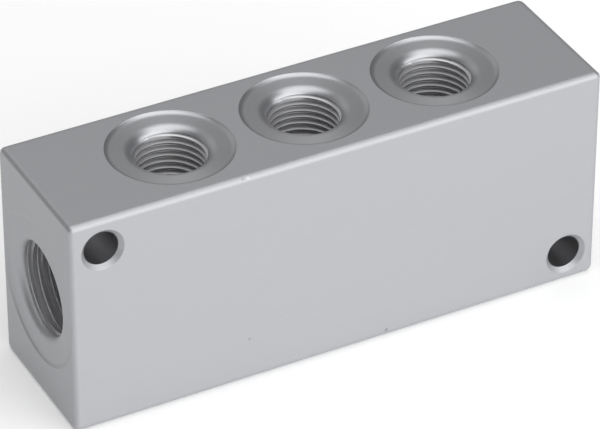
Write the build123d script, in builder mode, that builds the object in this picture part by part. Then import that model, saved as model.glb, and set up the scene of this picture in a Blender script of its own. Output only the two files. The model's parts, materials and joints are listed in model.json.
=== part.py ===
from build123d import *
import os
from math import radians, tan

# A pneumatic distribution block: one piece of extruded bar, drilled and tapped.
# X runs along the bar and the outlets open upwards, at +Z.
# The two mounting screws go in from the front face, at -Y.
# The origin is at the middle of the underside.

# Bar
block_length = 72
block_depth = 20
block_height = 30
long_edge_radius = 1.2
end_edge_radius = 1

# Gallery that joins both inlets to every outlet
gallery_diameter = 10
gallery_height = 15

# Outlets on the top face, for G 1/8 pipe thread
outlet_count = 3
outlet_pitch = 18
outlet_tap_drill = 8.6
outlet_mouth_radius = 1.5
outlet_spotface_diameter = 15.8
outlet_spotface_depth = 0.3

# Inlets in both ends, for G 1/4 pipe thread
inlet_tap_drill = 11.8
inlet_drill_depth = 12.5
inlet_mouth_radius = 1.05
inlet_spotface_diameter = 19.5
inlet_spotface_depth = 0.25

# Mounting holes, for M4 screws, in two opposite corners of the front face
mounting_hole_diameter = 4.5
mounting_hole_end_inset = 4.25
mounting_hole_edge_inset = 4.25
mounting_hole_chamfer = 0.55

# Shared by all ports
spotface_rim_width = 0.7
drill_point_angle = 118
cutter_overrun = 1
quarter_round_handle = 0.5523  # of its radius: this makes a cubic curve a quarter of a circle


def port_cutter(tap_drill, drill_depth, mouth_radius, spotface_diameter, spotface_depth):
    """What one port removes: its mouth is at the origin and it is bored towards -Z.

    From the face inwards come a shallow spotface for the sealing washer, with a sloping rim,
    a quarter-round mouth, the tapping bore and the drill point.
    """
    bore = tap_drill / 2
    mouth = bore + mouth_radius
    rim = spotface_diameter / 2
    bore_top = -spotface_depth - mouth_radius
    drill_point = bore / tan(radians(drill_point_angle / 2))
    handle = quarter_round_handle * mouth_radius
    with BuildPart() as cutter:
        with BuildSketch(Plane.XZ):
            with BuildLine():
                Polyline(
                    (0, cutter_overrun),
                    (rim, cutter_overrun),
                    (rim, 0),
                    (rim - spotface_rim_width, -spotface_depth),
                    (mouth, -spotface_depth),
                )
                Bezier(
                    (mouth, -spotface_depth),
                    (mouth - handle, -spotface_depth),
                    (bore, bore_top + handle),
                    (bore, bore_top),
                )
                Polyline(
                    (bore, bore_top),
                    (bore, -drill_depth),
                    (0, -drill_depth - drill_point),
                    (0, cutter_overrun),
                )
            make_face()
        revolve(axis=Axis.Z)
    return cutter.part


def drilled_bar():
    """The bar with its gallery, outlets, inlets and mounting holes."""
    front = Plane.XZ.offset(block_depth / 2)
    top = Plane.XY.offset(block_height)
    left_end = Plane((-block_length / 2, 0, gallery_height), z_dir=(-1, 0, 0))
    right_end = Plane((block_length / 2, 0, gallery_height), z_dir=(1, 0, 0))
    outlet = port_cutter(
        outlet_tap_drill,
        block_height - gallery_height,
        outlet_mouth_radius,
        outlet_spotface_diameter,
        outlet_spotface_depth,
    )
    inlet = port_cutter(
        inlet_tap_drill,
        inlet_drill_depth,
        inlet_mouth_radius,
        inlet_spotface_diameter,
        inlet_spotface_depth,
    )
    hole_x = block_length / 2 - mounting_hole_end_inset
    upper_hole = (-hole_x, block_height - mounting_hole_edge_inset)
    lower_hole = (hole_x, mounting_hole_edge_inset)

    with BuildPart() as bar:
        with BuildSketch(Plane.YZ.offset(-block_length / 2)):
            with Locations((0, block_height / 2)):
                RectangleRounded(block_depth, block_height, long_edge_radius)
        extrude(amount=block_length)
        fillet(bar.faces().filter_by(Axis.X).edges(), end_edge_radius)

        with Locations(left_end):
            Hole(gallery_diameter / 2)
        with Locations(left_end, right_end):
            add(inlet, mode=Mode.SUBTRACT)
        with Locations(top):
            with GridLocations(outlet_pitch, 0, outlet_count, 1):
                add(outlet, mode=Mode.SUBTRACT)

        with Locations(front):
            with Locations(upper_hole, lower_hole):
                Hole(mounting_hole_diameter / 2)
        chamfer(bar.edges(Select.LAST).filter_by(GeomType.CIRCLE), mounting_hole_chamfer)
    return bar


distribution_block = drilled_bar()
distribution_block.part.label = "distribution_block"

os.makedirs("parts", exist_ok=True)
export_step(distribution_block.part, "parts/distribution_block.step")
print("volume mm3", round(distribution_block.part.volume, 1))
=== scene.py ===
# %% [markdown]
# # A pneumatic distribution block
# The real object is one piece of aluminium bar, extruded, drilled and tapped, with an anodised
# outside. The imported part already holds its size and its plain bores, so this scene adds what
# that part leaves out: the cut threads and the finish that each tool leaves. A plain bore with a
# bump map could stand for a thread, but its outline would stay smooth, so the threads here are
# real mesh.

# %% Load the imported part
import json
from math import acos, cos, pi, radians, sin, tan

import bmesh
import bpy
from mathutils import Matrix, Vector


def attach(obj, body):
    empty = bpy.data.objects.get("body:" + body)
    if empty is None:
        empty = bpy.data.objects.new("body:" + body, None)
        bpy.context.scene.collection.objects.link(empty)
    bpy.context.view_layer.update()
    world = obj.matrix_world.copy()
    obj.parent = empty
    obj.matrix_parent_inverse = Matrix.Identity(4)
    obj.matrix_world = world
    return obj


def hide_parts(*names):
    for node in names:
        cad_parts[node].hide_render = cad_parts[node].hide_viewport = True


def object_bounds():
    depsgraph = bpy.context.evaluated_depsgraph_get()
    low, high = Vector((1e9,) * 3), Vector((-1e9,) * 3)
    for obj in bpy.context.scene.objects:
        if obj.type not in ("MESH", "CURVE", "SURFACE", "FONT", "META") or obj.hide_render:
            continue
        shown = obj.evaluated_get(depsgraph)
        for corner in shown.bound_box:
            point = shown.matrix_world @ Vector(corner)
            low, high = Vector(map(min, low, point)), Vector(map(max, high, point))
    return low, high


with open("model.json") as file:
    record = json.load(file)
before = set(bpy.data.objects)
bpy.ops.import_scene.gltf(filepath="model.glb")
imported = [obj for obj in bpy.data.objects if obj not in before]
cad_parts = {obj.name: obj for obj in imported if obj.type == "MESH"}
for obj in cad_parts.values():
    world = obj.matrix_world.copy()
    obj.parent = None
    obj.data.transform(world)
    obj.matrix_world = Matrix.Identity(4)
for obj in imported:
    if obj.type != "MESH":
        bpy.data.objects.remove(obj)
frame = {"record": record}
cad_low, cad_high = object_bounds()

MM = 0.001
print("bar, mm:", [round(size / MM, 2) for size in cad_high - cad_low])

# %% [markdown]
# ## Where the ports are
# Every port is a mount in the part's record, with its place, its axis and its tapping radius.
# Typing those numbers again would work until one of them changed. Reading them from the record
# keeps the scene in step with the solid. Only the shapes of the mouths are given further down,
# because the record holds those only in its notes.

# %% Ports and holes
BLOCK = "distribution_block"
mounts = {mount["name"]: mount for mount in frame["record"]["mounts"]}
outlets = [mounts[name] for name in ("outlet_left", "outlet_middle", "outlet_right")]
inlets = [mounts[name] for name in ("inlet_left", "inlet_right")]
screw_holes = [mounts[name] for name in ("mounting_hole_upper", "mounting_hole_lower")]

bar_length, bar_depth, bar_height = cad_high - cad_low
gallery_height = inlets[0]["pos_m"][2]
outlet_pitch = outlets[1]["pos_m"][0] - outlets[0]["pos_m"][0]
print("outlets every", round(outlet_pitch / MM, 2), "mm")
print("gallery", round(gallery_height / MM, 2), "mm above the table")

# %% [markdown]
# ## Camera
# The camera stands where the photo was taken from. Its direction, its distance and its lens were
# found together, by moving a long lens until the block's corners and the rims of its ports fell
# on those of the photo. A guess by eye would do for a mood picture, but here each port has to
# land on its own place, or the two pictures couldn't be compared.

# %% Camera
view_azimuth = radians(-27.674)
view_elevation = radians(34.954)
view_distance = 528.27 * MM
view_aim = Vector((2.69, 6.20, 9.644)) * MM
film_width = 36
lens_length = 254.29
nearest_seen = 10 * MM

towards_camera = Vector((
    sin(view_azimuth) * cos(view_elevation),
    -cos(view_azimuth) * cos(view_elevation),
    sin(view_elevation),
))
camera_data = bpy.data.cameras.new("camera")
camera_data.sensor_width = film_width
camera_data.lens = lens_length
camera_data.clip_start = nearest_seen
camera = bpy.data.objects.new("camera", camera_data)
camera.location = view_aim + towards_camera * view_distance
camera.rotation_euler = (-towards_camera).to_track_quat("-Z", "Y").to_euler()
bpy.context.collection.objects.link(camera)
bpy.context.scene.camera = camera
bpy.context.scene.view_settings.view_transform = "Standard"
print("camera at, mm:", [round(c / MM, 1) for c in camera.location])

# %% [markdown]
# ## Two helpers for materials
# Colours are written as the hex values that a paint program shows, and one function turns them
# to the linear values that Blender works with. A second one adds any node with its settings and
# its links, so that a material reads as a list of steps. Each kind of node could have a function
# of its own, but one that takes them all is quicker to learn.

# %% Colours and nodes
def linear(hex_colour):
    """An sRGB hex colour as the linear values that a shader socket takes."""
    channels = [int(hex_colour[i:i + 2], 16) / 255 for i in (1, 3, 5)]
    # The sRGB curve is a straight line near black and a power above it.
    return [c / 12.92 if c <= 0.04045 else ((c + 0.055) / 1.055) ** 2.4 for c in channels] + [1.0]


def add_node(tree, kind, inputs=None, **settings):
    """Adds a node with its settings. An input is a value, a socket, or a node for its first output."""
    node = tree.nodes.new("ShaderNode" + kind)
    for name, value in settings.items():
        setattr(node, name, value)
    for socket, value in (inputs or {}).items():
        if isinstance(value, bpy.types.Node):
            value = value.outputs[0]
        if isinstance(value, bpy.types.NodeSocket):
            tree.links.new(value, node.inputs[socket])
        else:
            node.inputs[socket].default_value = value
    return node


def new_material(name):
    """An empty material and its node tree."""
    material = bpy.data.materials.new(name)
    material.use_nodes = True
    material.node_tree.nodes.clear()
    return material, material.node_tree


print("mid grey #808080 is", round(linear("#808080")[0], 3), "in linear light")

# %% [markdown]
# ## Floor
# The block stands on white studio paper. Plain white paint would turn grey where less light
# falls, and more light would wash out the metal. So the paper is matt, to catch the shadow, and
# has a little glow of its own. The Light Path node gives that glow only to the rays that look at
# the paper: the camera's, and those that metal or glass send on. So it shows in the picture and
# in what the block mirrors, and adds no other light.

# %% Floor
floor_size = 3.0
paper_white = linear("#F6F6F6")
paper_glow = 0.2

half_floor = floor_size / 2
floor_corners = [
    (-half_floor, -half_floor, 0),
    (half_floor, -half_floor, 0),
    (half_floor, half_floor, 0),
    (-half_floor, half_floor, 0),
]
floor_mesh = bpy.data.meshes.new("floor")
floor_mesh.from_pydata(floor_corners, [], [(0, 1, 2, 3)])
floor = bpy.data.objects.new("floor", floor_mesh)
bpy.context.collection.objects.link(floor)

paper, tree = new_material("white_studio_paper")
rays = add_node(tree, "LightPath").outputs
seen = add_node(tree, "Math", {0: rays["Is Camera Ray"], 1: rays["Is Glossy Ray"]}, operation="ADD")
seen = add_node(tree, "Math", {0: seen, 1: rays["Is Transmission Ray"]}, operation="ADD", use_clamp=True)
strength = add_node(tree, "Math", {0: seen, 1: paper_glow}, operation="MULTIPLY")
glow = add_node(tree, "Emission", {"Color": linear("#FFFFFF"), "Strength": strength})
matt = add_node(tree, "BsdfDiffuse", {"Color": paper_white})
both = add_node(tree, "AddShader", {0: matt, 1: glow})
add_node(tree, "OutputMaterial", {"Surface": both})
floor_mesh.materials.append(paper)
print("floor:", floor_size, "m square, of", paper.name)

# %% [markdown]
# ## Lamps and world
# The picture is taken in soft studio light. A matt metal shows mostly what it mirrors: the front
# face mirrors the paper before it, the top mirrors the space behind it, and the edge between them
# mirrors the main light. One small lamp would leave a hard glint there. So the light comes from
# large softboxes: a broad one in front, one overhead, and two weak ones behind, which keep the
# top and its left edge from going dark. An even, dim world fills the rest.

# %% Lamps and world
world_strength = 0.2

world = bpy.data.worlds.new("studio")
world.use_nodes = True
background = world.node_tree.nodes["Background"]
background.inputs["Color"].default_value = linear("#FFFFFF")
background.inputs["Strength"].default_value = world_strength
bpy.context.scene.world = world


def softbox(name, azimuth, elevation, distance, width, height, watts):
    """A flat softbox that faces the block. Its azimuth is counted from the front towards the right."""
    data = bpy.data.lights.new(name, "AREA")
    data.shape = "RECTANGLE"
    data.size = width
    data.size_y = height
    data.energy = watts
    lamp = bpy.data.objects.new(name, data)
    sideways = radians(azimuth)
    up = radians(elevation)
    away = Vector((sin(sideways) * cos(up), -cos(sideways) * cos(up), sin(up)))
    lamp.location = Vector((0, 0, bar_height / 2)) + away * distance
    lamp.rotation_euler = (-away).to_track_quat("-Z", "Y").to_euler()
    bpy.context.collection.objects.link(lamp)


softbox("front_softbox", azimuth=20, elevation=25, distance=0.9, width=1.8, height=0.9, watts=8.8)
softbox("overhead_softbox", azimuth=0, elevation=85, distance=0.9, width=1.0, height=1.0, watts=4.5)
softbox("rear_softbox", azimuth=175, elevation=40, distance=1.0, width=1.2, height=0.8, watts=0.67)
softbox("rear_left_softbox", azimuth=208, elevation=26, distance=1.0, width=1.2, height=0.8, watts=0.5)

# %% [markdown]
# ## The finishes: anodised and bare aluminium
# The outside of the bar is blasted and anodised, which gives one pale grey under a thin clear
# oxide. The threads and the drilled holes look lighter, like bare metal: either they were cut
# after the bath or it hardly reached them, and the photo doesn't tell which. What differs most is
# the surface under the light: fine and matt on the outside, ringed where a cutter has turned,
# drawn into fine lines where a drill or a tap has cut. One material with a painted mask could
# hold all four. Four small materials are easier to read, and each cutter can hand its own one to
# the faces that it leaves.

# %% Shared greys
anodised_grey = linear("#BEBFC2")
bare_grey = linear("#D0D0D2")
print("anodised grey:", [round(c, 3) for c in anodised_grey[:3]])
print("bare grey:", [round(c, 3) for c in bare_grey[:3]])

# %% [markdown]
# ### Painted shade on the ends and in the inlets
# The ends of the bar are cut, not extruded, and so are the inlets' spotfaces and mouths. All of
# them carry a painted shade that leaves them a little darker than the long sides. A mask could be
# painted on the mesh, but two rules find those faces: an end looks along X, and nothing else of
# this finish lies so near to the gallery's axis as an inlet does.

# %% Painted shade of the ends
# Painted shade: the share of the grey that the ends and the inlets keep.
painted_end_shade = 0.84
faces_an_end = 0.3
inlet_reach = 9.8 * MM
full_shade_within = 0.99 * inlet_reach


def painted_shade_of_ends(tree, place, normal):
    """1 on the outside of the bar, and a painted shade on its ends and in its inlets."""
    facing = add_node(tree, "VectorMath", {0: normal}, operation="ABSOLUTE")
    facing = add_node(tree, "SeparateXYZ", {0: facing})
    on_end = add_node(tree, "MapRange", {
        "Value": facing.outputs["X"],
        "From Min": faces_an_end,
        "To Min": 1.0,
        "To Max": painted_end_shade,
    })
    beside = add_node(tree, "VectorMath", {0: place, 1: (0, 0, gallery_height)}, operation="SUBTRACT")
    beside = add_node(tree, "VectorMath", {0: beside, 1: (0, 1, 1)}, operation="MULTIPLY")
    beside = add_node(tree, "VectorMath", {0: beside}, operation="LENGTH")
    in_inlet = add_node(tree, "MapRange", {
        "Value": beside.outputs["Value"],
        "From Min": full_shade_within,
        "From Max": inlet_reach,
        "To Min": painted_end_shade,
        "To Max": 1.0,
    })
    return add_node(tree, "Math", {0: on_end, 1: in_inlet}, operation="MINIMUM")


print("milled faces keep", painted_end_shade, "of the grey")

# %% [markdown]
# ### Small scuffs and painted light
# The real bar has been handled: two dark specks show on the front face, and a nick on its upper
# edge is drawn as a painted highlight with a painted shade beside it. Each could be dug into the
# mesh, but they are only a few pixels wide in the picture, so each one only darkens or lightens
# the finish within one small radius. Their places were read off the photo, where a pixel is about
# 0.15 mm.

# %% Scuffs and painted light
mark_radius = 0.25 * MM
faint = 0.78
dark = 0.6
# Painted highlight: the nick is lit up in the colour.
painted_glint = 1.25
scuffs_and_painted_light = [
    (Vector((-12.7, -10.0, 6.3)) * MM, faint),
    (Vector((6.2, -10.0, 1.2)) * MM, dark),
    # The nick's painted highlight.
    (Vector((-12.6, -9.8, 29.8)) * MM, painted_glint),
    # Painted shade beside the nick.
    (Vector((-13.3, -9.8, 29.8)) * MM, faint),
]


def with_scuffs_and_painted_light(tree, place, shade):
    """A shade, darkened at each speck and at the painted shade by the nick, and lightened at its painted
    highlight.
    """
    for centre, mark_shade in scuffs_and_painted_light:
        distance = add_node(tree, "VectorMath", {0: place, 1: centre}, operation="DISTANCE")
        mark = add_node(tree, "MapRange", {
            "Value": distance.outputs["Value"],
            "From Min": mark_radius / 2,
            "From Max": mark_radius,
            "To Min": mark_shade,
            "To Max": 1.0,
        })
        shade = add_node(tree, "Math", {0: shade, 1: mark}, operation="MULTIPLY")
    return shade


print("scuffs:", len(scuffs_and_painted_light))

# %% [markdown]
# ### Outside: extruded, blasted and anodised
# Glass beads leave pits a few hundredths of a millimetre wide, and the eye reads them as an even
# matt that changes softly from face to face. They are drawn wider here, because the picture
# couldn't show them at their real size. Under them stay the faint lines of the extrusion die,
# along the bar: the same noise, stretched along X and drawn wider too. Anisotropy could stand for
# those lines, but it would change the light on the whole face, and the photo shows only a faint
# grain. The chamfers of the screw holes look like the outside in the photo and share its finish.

# %% Sizes of the blasted finish
blast_grain = 0.22 * MM
blast_pit_depth = 0.02 * MM
blast_pit_strength = 0.25
die_line_spacing = 0.5 * MM
die_line_stretch = (0.02, 1, 1)
die_line_depth = 0.01 * MM
die_line_strength = 0.15
stain_size = 9 * MM
shade_spread = 0.015
smoothest = 0.53
roughest = 0.57
# The detail of a noise is how many finer layers it has.
noise_detail = 2.0
die_line_detail = 3.0
print("a die line runs on for about", round(die_line_spacing / die_line_stretch[0] / MM), "mm")


# %% Material: blasted faces
def blasted_aluminium():
    """A fine even matt with die lines along X, painted shade on the ends and inlets, a few scuffs and a
    painted highlight.
    """
    material, tree = new_material("blasted_anodised_aluminium")
    coordinates = add_node(tree, "TexCoord").outputs
    place = coordinates["Object"]
    scale = {"Scale": 1 / blast_grain, "Detail": noise_detail}
    grain = add_node(tree, "TexNoise", {"Vector": place, **scale})
    along = add_node(tree, "VectorMath", {0: place, 1: die_line_stretch}, operation="MULTIPLY")
    scale = {"Scale": 1 / die_line_spacing, "Detail": die_line_detail}
    lines = add_node(tree, "TexNoise", {"Vector": along, **scale})
    scale = {"Scale": 1 / stain_size, "Detail": noise_detail}
    stain = add_node(tree, "TexNoise", {"Vector": place, **scale})
    roughness = add_node(tree, "MapRange", {"Value": stain, "To Min": smoothest, "To Max": roughest})

    spread = {"To Min": 1 - shade_spread, "To Max": 1 + shade_spread}
    line_shade = add_node(tree, "MapRange", {"Value": lines, **spread})
    grain_shade = add_node(tree, "MapRange", {"Value": grain, **spread})
    shade = add_node(tree, "Math", {0: line_shade, 1: grain_shade}, operation="MULTIPLY")
    # Painted shade on the ends and in the inlets.
    end_darkening = painted_shade_of_ends(tree, place, coordinates["Normal"])
    shade = add_node(tree, "Math", {0: shade, 1: end_darkening}, operation="MULTIPLY")
    shade = with_scuffs_and_painted_light(tree, place, shade)
    colour = add_node(tree, "HueSaturation", {"Color": anodised_grey, "Value": shade})

    line_bump = add_node(tree, "Bump", {
        "Height": lines,
        "Strength": die_line_strength,
        "Distance": die_line_depth,
    })
    bump = add_node(tree, "Bump", {
        "Height": grain,
        "Strength": blast_pit_strength,
        "Distance": blast_pit_depth,
        "Normal": line_bump,
    })
    shader = add_node(tree, "BsdfPrincipled", {
        "Base Color": colour,
        "Metallic": 1.0,
        "Roughness": roughness,
        "Normal": bump,
    })
    add_node(tree, "OutputMaterial", {"Surface": shader})
    return material


blasted = blasted_aluminium()
print(blasted.name, "has", len(blasted.node_tree.nodes), "nodes")

# %% [markdown]
# ### Round each port
# Turned rings and tapped lines both run round the axis of their own port. The mesh could be
# unwrapped port by port, but the place on the bar already tells which port is nearest: near the
# ends it is an inlet, whose axis is the gallery's, and elsewhere the outlet at the nearest
# multiple of the pitch. The inner end of an inlet's thread falls on the outlets' side of that
# line, too deep to be seen here.

# %% Away from the nearest port
end_starts_at = 30 * MM


def is_near_end(tree, x):
    """1 near the ends of the bar and 0 between them."""
    distance = add_node(tree, "Math", {0: x}, operation="ABSOLUTE")
    return add_node(tree, "Math", {0: distance, 1: end_starts_at}, operation="GREATER_THAN")


def away_from_port(tree, place):
    """The direction away from the nearest port's axis, as long as the radius there."""
    x, y, z = add_node(tree, "SeparateXYZ", {0: place}).outputs
    nearest = add_node(tree, "Math", {0: x, 1: outlet_pitch / 2}, operation="ADD")
    nearest = add_node(tree, "Math", {0: nearest, 1: outlet_pitch}, operation="SNAP")
    from_outlet = add_node(tree, "Math", {0: x, 1: nearest}, operation="SUBTRACT")
    from_gallery = add_node(tree, "Math", {0: z, 1: gallery_height}, operation="SUBTRACT")
    on_top = add_node(tree, "CombineXYZ", {"X": from_outlet, "Y": y})
    on_end = add_node(tree, "CombineXYZ", {"Y": y, "Z": from_gallery})
    # A Mix node has inputs of its own for each kind of value: 4 and 5 are its vectors.
    inputs = {0: is_near_end(tree, x), 4: on_top, 5: on_end}
    return add_node(tree, "Mix", inputs, data_type="VECTOR").outputs[1]


print("outer", round((bar_length / 2 - end_starts_at) / MM, 1), "mm at each end belong to an inlet")

# %% [markdown]
# ### Spotfaces and mouths of the outlets: turned
# A cutter that turns about the port leaves rings. Light spreads across the rings and hardly along
# them, so a turned face shows lighter and darker sectors instead of one even grey. Rings in the
# bump alone would have to be finer than the picture can show. Anisotropy gives the sectors
# without them, with its direction pointing away from the port's axis. The few rings that are
# drawn are wider than the real ones, or they wouldn't show. The inlets' spotfaces have no such
# sectors in the photo, so they keep the blasted finish.

# %% Material: turned faces
ring_spacing = 0.3 * MM
ring_depth = 0.02 * MM
ring_strength = 0.2
darkest_ring = 0.96
lightest_ring = 1.04
turned_roughness = 0.38
turned_anisotropy = 0.6


def turned_aluminium():
    """Rings round each port, over anodised aluminium."""
    material, tree = new_material("turned_anodised_aluminium")
    place = add_node(tree, "TexCoord").outputs["Object"]
    away = away_from_port(tree, place)
    radius = add_node(tree, "VectorMath", {0: away}, operation="LENGTH").outputs["Value"]
    direction = add_node(tree, "VectorMath", {0: away}, operation="NORMALIZE")
    scale = {"Scale": 1 / ring_spacing, "Detail": noise_detail}
    rings = add_node(tree, "TexNoise", {"W": radius, **scale}, noise_dimensions="1D")
    shade = add_node(tree, "MapRange", {"Value": rings, "To Min": darkest_ring, "To Max": lightest_ring})
    colour = add_node(tree, "HueSaturation", {"Color": anodised_grey, "Value": shade})
    bump = add_node(tree, "Bump", {"Height": rings, "Strength": ring_strength, "Distance": ring_depth})
    shader = add_node(tree, "BsdfPrincipled", {
        "Base Color": colour,
        "Metallic": 1.0,
        "Roughness": turned_roughness,
        "Anisotropic": turned_anisotropy,
        "Tangent": direction,
        "Normal": bump,
    })
    add_node(tree, "OutputMaterial", {"Surface": shader})
    return material


turned = turned_aluminium()
print(turned.name, "has", len(turned.node_tree.nodes), "nodes")

# %% [markdown]
# ### Threads: tapped
# A tap draws soft aluminium into very fine lines that follow the thread, so a flank looks striped
# across its width. On the flanks those lines run round the port, and a pattern of the radius
# alone makes them. A bump as fine as this would only make the picture noisy, so the lines are in
# the colour, drawn wider than the few hundredths of a millimetre that they really are.

# %% Material: threads
tap_line_spacing = 0.12 * MM
tap_line_detail = 1.0
darkest_tap_line = 0.92
lightest_tap_line = 1.04
tapped_roughness = 0.46


def tapped_aluminium():
    """Fine lines round each port, over bare aluminium."""
    material, tree = new_material("tapped_bare_aluminium")
    place = add_node(tree, "TexCoord").outputs["Object"]
    away = away_from_port(tree, place)
    radius = add_node(tree, "VectorMath", {0: away}, operation="LENGTH").outputs["Value"]
    scale = {"Scale": 1 / tap_line_spacing, "Detail": tap_line_detail}
    lines = add_node(tree, "TexNoise", {"W": radius, **scale}, noise_dimensions="1D")
    shade = add_node(tree, "MapRange", {
        "Value": lines,
        "To Min": darkest_tap_line,
        "To Max": lightest_tap_line,
    })
    colour = add_node(tree, "HueSaturation", {"Color": bare_grey, "Value": shade})
    shader = add_node(tree, "BsdfPrincipled", {
        "Base Color": colour,
        "Metallic": 1.0,
        "Roughness": tapped_roughness,
    })
    add_node(tree, "OutputMaterial", {"Surface": shader})
    return material


tapped = tapped_aluminium()
print(tapped.name, "has", len(tapped.node_tree.nodes), "nodes")

# %% [markdown]
# ### Gallery and screw holes: drilled
# A twist drill leaves faint rings along its hole, which looks smoother and lighter than the
# blasted outside. The rings are drawn wider than real ones, or they wouldn't show. The gallery
# runs along X and the screw holes along Y. Each could have its own material, but the distance
# along the hole is simply x in the middle of the bar and y near its ends, so one does for both.

# %% Material: drilled holes
drill_ring_spacing = 0.25 * MM
drill_ring_depth = 0.02 * MM
drill_ring_strength = 0.2
darkest_drill_ring = 0.95
lightest_drill_ring = 1.03
drilled_roughness = 0.36


def drilled_aluminium():
    """Rings along each drilled hole, over bare aluminium."""
    material, tree = new_material("drilled_bare_aluminium")
    place = add_node(tree, "TexCoord").outputs["Object"]
    axes = add_node(tree, "SeparateXYZ", {0: place}).outputs
    near_end = is_near_end(tree, axes["X"])
    # The plain numbers of a Mix node are its inputs 2 and 3.
    along_hole = add_node(tree, "Mix", {0: near_end, 2: axes["X"], 3: axes["Y"]})
    scale = {"Scale": 1 / drill_ring_spacing, "Detail": noise_detail}
    rings = add_node(tree, "TexNoise", {"W": along_hole, **scale}, noise_dimensions="1D")
    shade = add_node(tree, "MapRange", {
        "Value": rings,
        "To Min": darkest_drill_ring,
        "To Max": lightest_drill_ring,
    })
    colour = add_node(tree, "HueSaturation", {"Color": bare_grey, "Value": shade})
    bump = add_node(tree, "Bump", {
        "Height": rings,
        "Strength": drill_ring_strength,
        "Distance": drill_ring_depth,
    })
    shader = add_node(tree, "BsdfPrincipled", {
        "Base Color": colour,
        "Metallic": 1.0,
        "Roughness": drilled_roughness,
        "Normal": bump,
    })
    add_node(tree, "OutputMaterial", {"Surface": shader})
    return material


drilled = drilled_aluminium()
print(drilled.name, "has", len(drilled.node_tree.nodes), "nodes")

# %% [markdown]
# ## One mesh, four finishes
# The block and every cutter carry all four materials in the same order. A face keeps the number
# of its material through a Boolean, so what a cutter leaves behind has that cutter's finish.
# Assigning finishes after the cuts would mean finding each face again by its place.

# %% Objects with every finish
FINISHES = [blasted, turned, tapped, drilled]
BLASTED, TURNED, TAPPED, DRILLED = range(len(FINISHES))


def new_object(name, points, faces, finish_of_face=None):
    """A closed mesh that carries every finish, with each face given its own."""
    mesh = bpy.data.meshes.new(name)
    mesh.from_pydata(points, [], faces)
    for finish in FINISHES:
        mesh.materials.append(finish)
    for face, finish in zip(mesh.polygons, finish_of_face or [BLASTED] * len(faces)):
        face.material_index = finish
    outward = bmesh.new()
    outward.from_mesh(mesh)
    bmesh.ops.recalc_face_normals(outward, faces=outward.faces)
    outward.to_mesh(mesh)
    outward.free()
    piece = bpy.data.objects.new(name, mesh)
    bpy.context.collection.objects.link(piece)
    return piece


print("finishes:", [finish.name for finish in FINISHES])

# %% [markdown]
# ## The bar
# The real bar is extruded with rounded long edges and cut to length, and its ends are broken with
# a small radius. A box with a bevel modifier would do if all radii were equal. Here they differ
# from edge to edge, so the bar is lofted: rounded rectangles that shrink towards both ends. The
# light on the front's upper edge and on the left end is narrower than the outline's radii would
# give, so those edges are rounded less.

# %% Section of the bar
long_edge_radius = 1.2 * MM
front_top_edge_radius = 0.75 * MM
smallest_radius = 0.05 * MM
edge_steps = 10

# Each long edge: its side in y and in z, and its radius.
long_edges = [
    (1, 1, long_edge_radius),
    (-1, 1, front_top_edge_radius),
    (-1, -1, long_edge_radius),
    (1, -1, long_edge_radius),
]


def rounded_section(x, inset):
    """The bar's section at x, drawn inwards by an inset."""
    points = []
    for quarter, (side_y, side_z, edge_radius) in enumerate(long_edges):
        radius = max(edge_radius - inset, smallest_radius)
        centre_y = side_y * (bar_depth / 2 - inset - radius)
        centre_z = bar_height / 2 + side_z * (bar_height / 2 - inset - radius)
        for step in range(edge_steps + 1):
            angle = (quarter + step / edge_steps) * pi / 2
            points.append((x, centre_y + radius * cos(angle), centre_z + radius * sin(angle)))
    return points


print("points round a section:", len(rounded_section(0, 0)))

# %% Loft the bar
left_end_edge_radius = 0.7 * MM
right_end_edge_radius = 1.0 * MM


def plain_bar():
    """The bar with its rounded edges, before any hole."""
    sections = []
    for end, end_radius in ((-1, left_end_edge_radius), (1, right_end_edge_radius)):
        angles = [step / edge_steps * pi / 2 for step in range(edge_steps + 1)]
        if end == -1:
            angles.reverse()
        for angle in angles:
            x = end * (bar_length / 2 - end_radius * (1 - sin(angle)))
            sections.append(rounded_section(x, end_radius * (1 - cos(angle))))
    around = len(sections[0])
    points = [point for section in sections for point in section]
    faces = [tuple(range(around)), tuple(range(len(points) - around, len(points)))]
    for row in range(len(sections) - 1):
        for column in range(around):
            following = (column + 1) % around
            faces.append((
                row * around + column,
                row * around + following,
                (row + 1) * around + following,
                (row + 1) * around + column,
            ))
    return new_object("bar", points, faces)


block = plain_bar()
print("bar faces:", len(block.data.polygons))

# %% [markdown]
# ## The stepped cutters
# Each port is cut in a way that a workshop could use too: one stepped cutter leaves the shallow
# spotface, the rounded mouth and the tapping bore in one plunge. A lathe profile with a Screw
# modifier would give the same solid. Building the rings in code lets each step name the finish
# that it leaves.

# %% Solids of revolution
around_port = 96
overrun = 1 * MM


def turned_cutter(name, steps):
    """A solid turned about its own Z. A step is a radius, a height and the finish on the way there."""
    angles = [2 * pi * i / around_port for i in range(around_port)]
    points = [(0, 0, steps[0][1])]
    faces = []
    finishes = []
    before = [0]
    for radius, height, finish in steps:
        first = len(points)
        if radius == 0:
            points.append((0, 0, height))
        else:
            points += [(radius * cos(angle), radius * sin(angle), height) for angle in angles]
        ring = list(range(first, len(points)))
        for i in range(around_port):
            corners = [
                before[i % len(before)],
                before[(i + 1) % len(before)],
                ring[(i + 1) % len(ring)],
                ring[i % len(ring)],
            ]
            # A ring of one point names it twice, and a face may hold each point only once.
            faces.append(tuple(dict.fromkeys(corners)))
            finishes.append(finish)
        before = ring
    return new_object(name, points, faces, finishes)


print("faces round a port:", around_port)

# %% [markdown]
# ## The shape of a port
# From the face inwards come the rim of the spotface, its flat seat for a sealing washer, the
# rounded mouth, the bore and the drill's point. The rim is slightly hollow, where the cutter's
# corner was rounded, and its outer edge is broken, so two arcs make it that meet without a kink.
# A straight cone would be simpler, but it wouldn't catch the soft band of light at the far side.

# %% Steps of a port
spotface_rim_width = 0.7 * MM
broken_edge_radius = 0.12 * MM
drill_point_angle = radians(118)
arc_steps = 10


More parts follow.
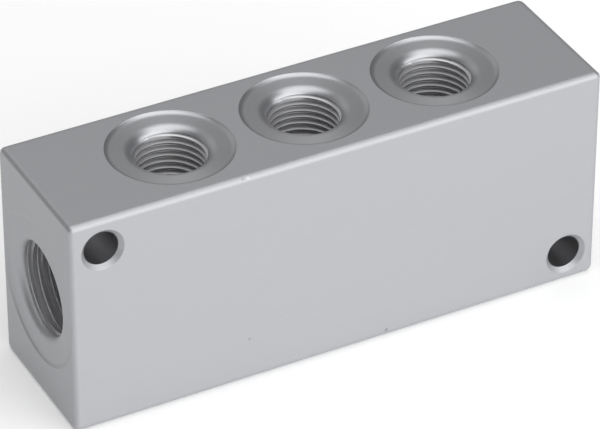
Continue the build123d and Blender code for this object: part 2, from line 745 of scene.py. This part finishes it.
def port_steps(bore, drill_depth, mouth_radius, rim, spotface_depth, finish):
    """The steps of a port's cutter, from the open air down to the drill's point."""
    hollow_radius = (spotface_rim_width ** 2 + spotface_depth ** 2) / (2 * spotface_depth)
    seat_radius = rim - spotface_rim_width
    both_radii = hollow_radius + broken_edge_radius
    steepest = acos(1 - spotface_depth / both_radii)
    outermost = seat_radius + both_radii * sin(steepest)
    steps = [(outermost, overrun, finish)]
    for step in range(1, arc_steps + 1):
        angle = steepest * step / arc_steps
        radius = outermost - broken_edge_radius * sin(angle)
        steps.append((radius, -broken_edge_radius * (1 - cos(angle)), finish))
    for step in range(1, arc_steps + 1):
        angle = steepest * (1 - step / arc_steps)
        radius = seat_radius + hollow_radius * sin(angle)
        steps.append((radius, hollow_radius * (1 - cos(angle)) - spotface_depth, finish))
    for step in range(arc_steps + 1):
        angle = step / arc_steps * pi / 2
        radius = bore + mouth_radius * (1 - sin(angle))
        steps.append((radius, -spotface_depth - mouth_radius * (1 - cos(angle)), finish))
    steps.append((bore, -drill_depth, TAPPED))
    steps.append((0, -drill_depth - bore / tan(drill_point_angle / 2), DRILLED))
    return steps


print("rim of a spotface, mm wide:", round(spotface_rim_width / MM, 2))

# %% [markdown]
# ## Two kinds of port
# The outlets are the smaller ports and the inlets the larger. Their tapping radii come from the
# record. Their spotfaces, mouths and depths are the solid's own sizes. One table of numbers would
# be shorter, but a named value says what it changes.

# %% Outlets and inlets
outlet_radius = outlets[0]["dims"]["r_mm"] * MM
outlet_mouth_radius = 1.5 * MM
outlet_spotface_radius = 15.8 / 2 * MM
outlet_spotface_depth = 0.3 * MM
outlet_steps = port_steps(
    outlet_radius,
    bar_height - gallery_height,
    outlet_mouth_radius,
    outlet_spotface_radius,
    outlet_spotface_depth,
    TURNED,
)

inlet_radius = inlets[0]["dims"]["r_mm"] * MM
inlet_drill_depth = 12.5 * MM
inlet_mouth_radius = 1.05 * MM
inlet_spotface_radius = 19.5 / 2 * MM
inlet_spotface_depth = 0.25 * MM
inlet_steps = port_steps(
    inlet_radius,
    inlet_drill_depth,
    inlet_mouth_radius,
    inlet_spotface_radius,
    inlet_spotface_depth,
    BLASTED,
)
print("steps of an outlet and of an inlet:", len(outlet_steps), len(inlet_steps))

# %% [markdown]
# ## The taps
# A pipe thread has flanks at 55 degrees to each other and rounded roots. A bump map could draw
# its lines, and a stack of grooves could give their outline, but neither would climb. So the tap
# is a real helix: one profile that rises by a pitch each turn. The rows of its mesh follow the
# helix, and the last column joins the first a whole pitch further on. Between its ridges the tap
# is slimmer than the drilled bore, as a real one is, so the crests of the thread are what the
# drill left.

# %% Profile of the thread
half_flank_angle = radians(27.5)
# The pipe thread's standard gives both as shares: of the pitch, and of the sharp thread's height.
rounding_share = 0.137329
cut_off_share = 1 / 6
root_arc_steps = 6


def thread_profile(pitch, root_radius, crest_radius):
    """One pitch of the tap, as pairs of a distance along its axis and a radius."""
    sharp_height = pitch / 2 / tan(half_flank_angle)
    rounding = rounding_share * pitch
    apex = root_radius + sharp_height * cut_off_share
    foot = (apex - crest_radius) * tan(half_flank_angle)
    widest = pi / 2 - half_flank_angle
    arc = []
    for step in range(root_arc_steps + 1):
        angle = widest * (2 * step / root_arc_steps - 1)
        arc.append((rounding * sin(angle), root_radius - rounding + rounding * cos(angle)))
    return [(-foot, crest_radius)] + arc + [(foot, crest_radius)]


print("half the angle between flanks, as a slope:", round(tan(half_flank_angle), 3))

# %% [markdown]
# ### A solid from a helix
# The skin of a tap is one long strip that winds up round its axis. A Screw modifier can wind such
# a strip, but it leaves both ends open, and the cuts need a closed solid. So the faces are listed
# in code: those between neighbouring rows of points, and a fan over each end.

# %% Close a helix
def closed_helix(name, points, steps, end_heights):
    """A solid from a helix's rows of points, with a fan over each end about a point on the axis."""
    rows = len(points) // around_port - 1

    def corner(row, column):
        """The last column's neighbour is the first column, one pitch further on."""
        if column == around_port:
            row += steps
            column = 0
        return row * around_port + column

    faces = []
    for row in range(rows):
        for column in range(around_port):
            if column < around_port - 1 or row + 1 + steps <= rows:
                faces.append((
                    corner(row, column),
                    corner(row, column + 1),
                    corner(row + 1, column + 1),
                    corner(row + 1, column),
                ))
    low_rim = [corner(0, column) for column in range(around_port)]
    low_rim += [corner(row, 0) for row in range(steps, 0, -1)]
    high_rim = [corner(rows, column) for column in range(around_port)]
    high_rim += [corner(row, around_port - 1) for row in range(rows - 1, rows - steps - 1, -1)]
    for rim, height in zip((low_rim, high_rim), end_heights):
        centre = len(points)
        points.append((0, 0, height))
        faces += [(rim[i], rim[(i + 1) % len(rim)], centre) for i in range(len(rim))]
    return new_object(name, points, faces, [TAPPED] * len(faces))


print("points in a row of a helix:", around_port)

# %% [markdown]
# ### One tap
# A thread doesn't start at its full depth: the rounded mouth cuts its first turn away, and a
# tap's lead leaves the last ones shallow. Two taps of different depths could cut that. Here the
# ridge of one tap is drawn in towards the bore wherever the thread has to be shallower.

# %% Tap
clear_of_bore = 0.15 * MM


def tap(name, pitch, root_radius, bore_radius, mouth, run_in, bottom, phase, run_out=0.0):
    """A tap along its own Z between two heights, with a root at the phase's height at angle 0.

    Below the mouth the thread grows to its full depth over the run-in, because the first turn is
    broken when the mouth is rounded. Over the run-out it fades away, as the lead of a tap leaves it.
    """
    crest_radius = bore_radius - clear_of_bore
    profile = thread_profile(pitch, root_radius, crest_radius)
    steps = len(profile)
    first = bottom + (phase - bottom) % pitch - pitch
    turns = int((mouth + pitch - first) / pitch) + 1
    rows = turns * steps
    points = []
    for row in range(rows + 1):
        along, radius = profile[row % steps]
        for column in range(around_port):
            angle = 2 * pi * column / around_port
            height = first + (row // steps + column / around_port) * pitch + along
            depth = min(1, max(0, (mouth - height) / run_in))
            if run_out:
                depth = min(depth, max(0, (height - bottom) / run_out))
            reach = crest_radius + (radius - crest_radius) * depth
            points.append((reach * cos(angle), reach * sin(angle), height))
    return closed_helix(name, points, steps, (first, first + turns * pitch))


print("between its ridges a tap is", round(clear_of_bore / MM, 2), "mm clear of its bore")

# %% [markdown]
# ## Cut the bar
# A Boolean takes each tool out of the bar, as a drill does. Its Exact solver would be slow on
# threads this fine. The Manifold solver is quick and needs every solid to be closed. Two faces
# that lie on each other could leave slivers, so the cutters run past the faces that they cut.

# %% One cut
def cut(tool, places):
    """Takes the tool out of the block at each place, then deletes the tool."""
    for place in places:
        tool.matrix_world = place
        difference = block.modifiers.new("cut", "BOOLEAN")
        difference.operation = "DIFFERENCE"
        difference.solver = "MANIFOLD"
        difference.object = tool
        bpy.context.view_layer.update()
        graph = bpy.context.evaluated_depsgraph_get()
        mesh = bpy.data.meshes.new_from_object(block.evaluated_get(graph))
        block.modifiers.clear()
        block.data = mesh
    bpy.data.objects.remove(tool)
    print("after cutting:", len(block.data.polygons), "faces")


print("before cutting:", len(block.data.polygons), "faces")

# %% [markdown]
# ## Gallery and ports
# The gallery is drilled through the whole bar from its right end, and the five ports open into
# it: three on top and one in each end. The tools could be joined and cut all at once. A cut for
# each port keeps every tool simple and still takes no time worth saving.

# %% Gallery and ports
outlet_places = [Matrix.Translation((outlet["pos_m"][0], 0, bar_height)) for outlet in outlets]
inlet_places = []
for side in (-1, 1):
    out_of_end = Matrix.Rotation(side * pi / 2, 4, "Y")
    inlet_places.append(Matrix.Translation((side * bar_length / 2, 0, gallery_height)) @ out_of_end)
gallery_radius = 5 * MM
gallery_steps = [
    (gallery_radius, overrun, DRILLED),
    (gallery_radius, -bar_length - overrun, DRILLED),
    (0, -bar_length - overrun, DRILLED),
]
cut(turned_cutter("gallery_drill", gallery_steps), inlet_places[1:])
cut(turned_cutter("outlet_cutter", outlet_steps), outlet_places)
cut(turned_cutter("inlet_cutter", inlet_steps), inlet_places)

# %% [markdown]
# ## Screw holes
# Two screws hold the block against a panel, through opposite corners of its front. Each hole is
# drilled right through and chamfered at both faces. A second cutter could make the chamfers. One
# profile with a slope at each end makes hole and chamfers together.

# %% Screw holes
screw_hole_radius = screw_holes[0]["dims"]["r_mm"] * MM
screw_chamfer = 0.55 * MM
chamfer_overrun_radius = screw_hole_radius + screw_chamfer + overrun
screw_steps = [
    (chamfer_overrun_radius, overrun, BLASTED),
    (screw_hole_radius, -screw_chamfer, BLASTED),
    (screw_hole_radius, screw_chamfer - bar_depth, DRILLED),
    (chamfer_overrun_radius, -bar_depth - overrun, BLASTED),
    (0, -bar_depth - overrun, BLASTED),
]
out_of_front = Matrix.Rotation(pi / 2, 4, "X")
screw_places = [
    Matrix.Translation((hole["pos_m"][0], -bar_depth / 2, hole["pos_m"][2])) @ out_of_front
    for hole in screw_holes
]
cut(turned_cutter("screw_drill", screw_steps), screw_places)

# %% [markdown]
# ## Threads
# The outlets take G 1/8 fittings and the inlets G 1/4 ones, and those names settle the pitch and
# the width over the roots. How deep they go can't be seen, so the outlets are tapped right into
# the gallery, and the inlets for 11.5 mm with last turns that a tap's lead leaves shallow. Where
# a thread starts round its port is free. The photo shows the far wall of each outlet, so their
# threads are turned until a root lies at the depth that it has there.

# %% Threads of the outlets
inch = 25.4 * MM
eighth_pitch = inch / 28
eighth_root_radius = 9.728 / 2 * MM
above_gallery_axis = 0.5 * MM
away_from_camera = pi / 2 + view_azimuth
root_depth_away_from_camera = 1.93 * MM
outlet_tap = tap(
    "eighth_tap",
    eighth_pitch,
    eighth_root_radius,
    outlet_radius,
    mouth=-0.6 * MM,
    run_in=0.6 * MM,
    bottom=gallery_height - bar_height + above_gallery_axis,
    phase=-root_depth_away_from_camera - away_from_camera / (2 * pi) * eighth_pitch,
)
print("pitch of an outlet, mm:", round(eighth_pitch / MM, 3))
cut(outlet_tap, outlet_places)

# %% Threads of the inlets
quarter_pitch = inch / 19
quarter_root_radius = 13.157 / 2 * MM
inlet_tap = tap(
    "quarter_tap",
    quarter_pitch,
    quarter_root_radius,
    inlet_radius,
    mouth=-0.9 * MM,
    run_in=0.8 * MM,
    bottom=-11.5 * MM,
    phase=-2 * MM,
    run_out=2.5 * MM,
)
print("pitch of an inlet, mm:", round(quarter_pitch / MM, 3))
cut(inlet_tap, inlet_places)

# %% [markdown]
# ## Shading
# After the cuts the mesh is made of small flat faces, and the eye would see each of them. Smooth
# shading alone would bend the light on the large flat sides as well. So edges over a given angle
# stay sharp, and weighted normals let a large face keep its own direction at a rounded edge.

# %% Shading
sharp_angle = radians(32)
large_faces_first = 100

block.data.polygons.foreach_set("use_smooth", [True] * len(block.data.polygons))
block.data.set_sharp_from_angle(angle=sharp_angle)
weighted = block.modifiers.new("weighted_normals", "WEIGHTED_NORMAL")
weighted.keep_sharp = True
weighted.weight = large_faces_first
graph = bpy.context.evaluated_depsgraph_get()
block.data = bpy.data.meshes.new_from_object(block.evaluated_get(graph))
block.modifiers.clear()
block.name = block.data.name = "drilled_and_tapped_block"
print("sharp edges:", sum(1 for edge in block.data.edges if edge.use_edge_sharp))

# %% [markdown]
# ## Measure the result
# A cut that fails leaves a gap in the mesh or takes nothing away, and either can hide inside a
# port. Looking from every side could still miss it. So the volume and the number of open edges
# are printed, and a closed mesh has no open edge.

# %% Measure the mesh
measured = bmesh.new()
measured.from_mesh(block.data)
open_edges = sum(1 for edge in measured.edges if not edge.is_manifold)
print("block volume, mm3:", round(measured.calc_volume() / MM ** 3, 1), "open edges:", open_edges)
measured.free()
block.data.calc_loop_triangles()
print("triangles:", len(block.data.loop_triangles))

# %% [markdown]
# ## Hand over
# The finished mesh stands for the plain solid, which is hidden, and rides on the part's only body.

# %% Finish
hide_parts(BLOCK)
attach(block, "root")
